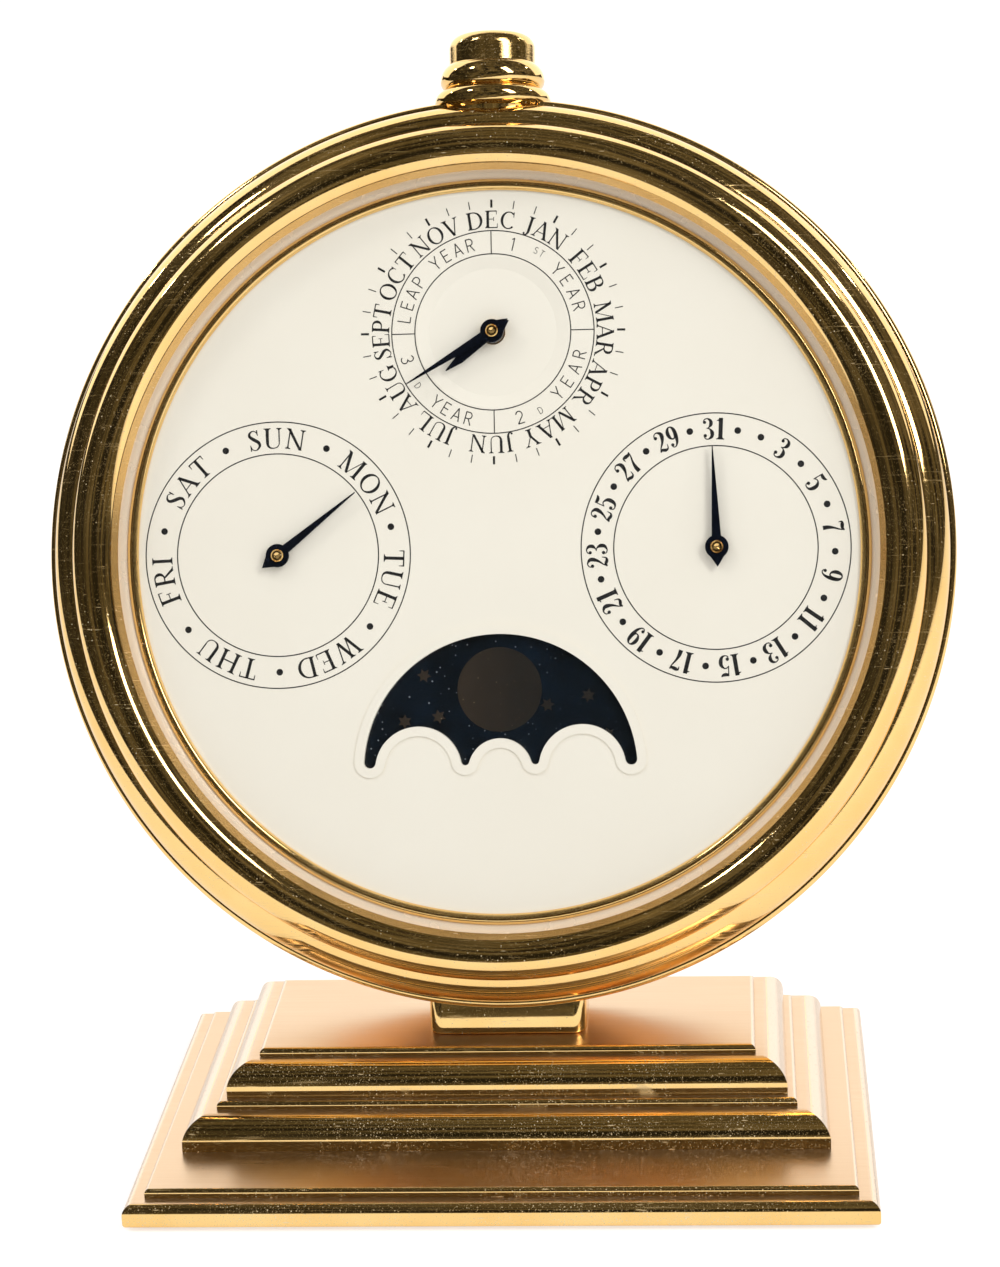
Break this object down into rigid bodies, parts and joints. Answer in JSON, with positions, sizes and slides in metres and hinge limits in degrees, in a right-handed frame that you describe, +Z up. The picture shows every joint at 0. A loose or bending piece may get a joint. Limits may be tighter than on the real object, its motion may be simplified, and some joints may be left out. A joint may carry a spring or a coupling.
{
  "type": "perpetual desk calendar",
  "caption": "Brass desk calendar: a leaning round case on a stepped plinth, dials for day, date, month and leap year, a moon phase window and a pusher on top.",
  "frame": {"origin": "Centre of the foot pad's underside, on the table that the calendar stands on.", "axes": "+X is to the right as seen from the front, -Y points to the viewer and +Z is up; the case leans back 17.24 degrees about X."},
  "size_m": [0.1536, 0.094, 0.182],
  "materials": {
    "polished_brass": "polished gilt, plinth flats brushed",
    "movement_brass": "fine grained",
    "steel": "fine brushed",
    "blued_steel": "heat blued, polished",
    "dial_cream": "satin cream enamel",
    "moon_blue": "gloss dark blue",
    "clear_glass": "clear, polished",
    "green_felt": "felt"
  },
  "bodies": {
    "stand": {"plinth": "polished_brass", "base_pad": "green_felt", "neck_block": "polished_brass", "case_screws": "steel", "case_drum": "polished_brass", "bezel": "polished_brass", "bezel_screws": "steel", "crystal": "clear_glass", "inner_ring": "polished_brass", "dial": "dial_cream", "dial_feet": "movement_brass", "spacer_ring": "movement_brass", "main_plate": "movement_brass", "plate_screws": "steel", "rear_plate": "movement_brass", "plate_pillars": "movement_brass", "pillar_screws": "steel", "reduction_stud": "steel", "lever_stud": "steel", "guide_screws": "steel", "jumper_springs": "steel", "jumper_screws": "steel", "pusher_spring": "steel", "pusher_collar": "polished_brass", "pusher_base": "polished_brass", "rear_cover": "polished_brass", "rear_cover_screws": "steel"},
    "date_train": {"date_wheel": "movement_brass", "date_snail": "movement_brass", "date_arbor": "movement_brass", "date_hand": "blued_steel"},
    "day_train": {"day_star": "movement_brass", "day_arbor": "movement_brass", "day_hand": "blued_steel"},
    "moon_train": {"moon_wheel": "movement_brass", "moon_arbor": "movement_brass", "moon_disc": "moon_blue"},
    "month_train": {"month_star": "movement_brass", "month_pinion": "movement_brass", "month_arbor": "movement_brass", "month_hand": "blued_steel"},
    "reduction": {"reduction_wheel": "movement_brass"},
    "leap_train": {"leap_wheel": "movement_brass", "leap_cam": "movement_brass", "leap_hand": "blued_steel"},
    "month_step": {"month_lever": "steel"},
    "pusher": {"pusher_button": "polished_brass", "pusher_stem": "steel", "stem_clip": "steel"},
    "operating": {"operating_slide": "steel"}
  },
  "joints": [
    {"name": "date_turn", "type": "hinge", "parent": "stand", "child": "date_train", "pos_m": [0.0368, 0.01801, 0.0972], "axis": [0, 0.9551, -0.2964], "continuous": true},
    {"name": "day_turn", "type": "hinge", "parent": "stand", "child": "day_train", "pos_m": [-0.0368, 0.01801, 0.0972], "axis": [0, 0.9551, -0.2964], "continuous": true},
    {"name": "moon_turn", "type": "hinge", "parent": "stand", "child": "moon_train", "pos_m": [0, 0.00711, 0.06205], "axis": [0, 0.9551, -0.2964], "continuous": true},
    {"name": "month_turn", "type": "hinge", "parent": "stand", "child": "month_train", "pos_m": [0, 0.02892, 0.13235], "axis": [0, 0.9551, -0.2964], "continuous": true},
    {"name": "reduction_turn", "type": "hinge", "parent": "stand", "child": "reduction", "pos_m": [0.009, 0.02892, 0.13235], "axis": [0, 0.9551, -0.2964], "continuous": true},
    {"name": "leap_turn", "type": "hinge", "parent": "stand", "child": "leap_train", "pos_m": [0, 0.02892, 0.13235], "axis": [0, 0.9551, -0.2964], "continuous": true},
    {"name": "month_lever_rock", "type": "hinge", "parent": "stand", "child": "month_step", "pos_m": [0.026, 0.03127, 0.12136], "axis": [0, -0.9551, 0.2964], "range_deg": [0, 4], "stiffness_Nm_per_rad": 0.004, "springref_deg": -3.44},
    {"name": "pusher_press", "type": "slide", "parent": "stand", "child": "pusher", "axis": [0, -0.2964, -0.9551], "range_m": [0, 0.0032], "stiffness_N_per_m": 400, "springref_m": -0.002, "deforming": ["pusher_spring"]},
    {"name": "slide_follow", "type": "slide", "parent": "stand", "child": "operating", "axis": [0, -0.2964, -0.9551], "range_m": [0, 0.0032]}
  ],
  "couplings": [
    {"joint": "day_turn", "follows": "date_turn", "ratio": 4.4286},
    {"joint": "moon_turn", "follows": "date_turn", "ratio": 0.52542},
    {"joint": "reduction_turn", "follows": "month_turn", "ratio": -0.5},
    {"joint": "leap_turn", "follows": "month_turn", "ratio": 0.25},
    {"joint": "slide_follow", "follows": "pusher_press", "ratio": 1}
  ]
}
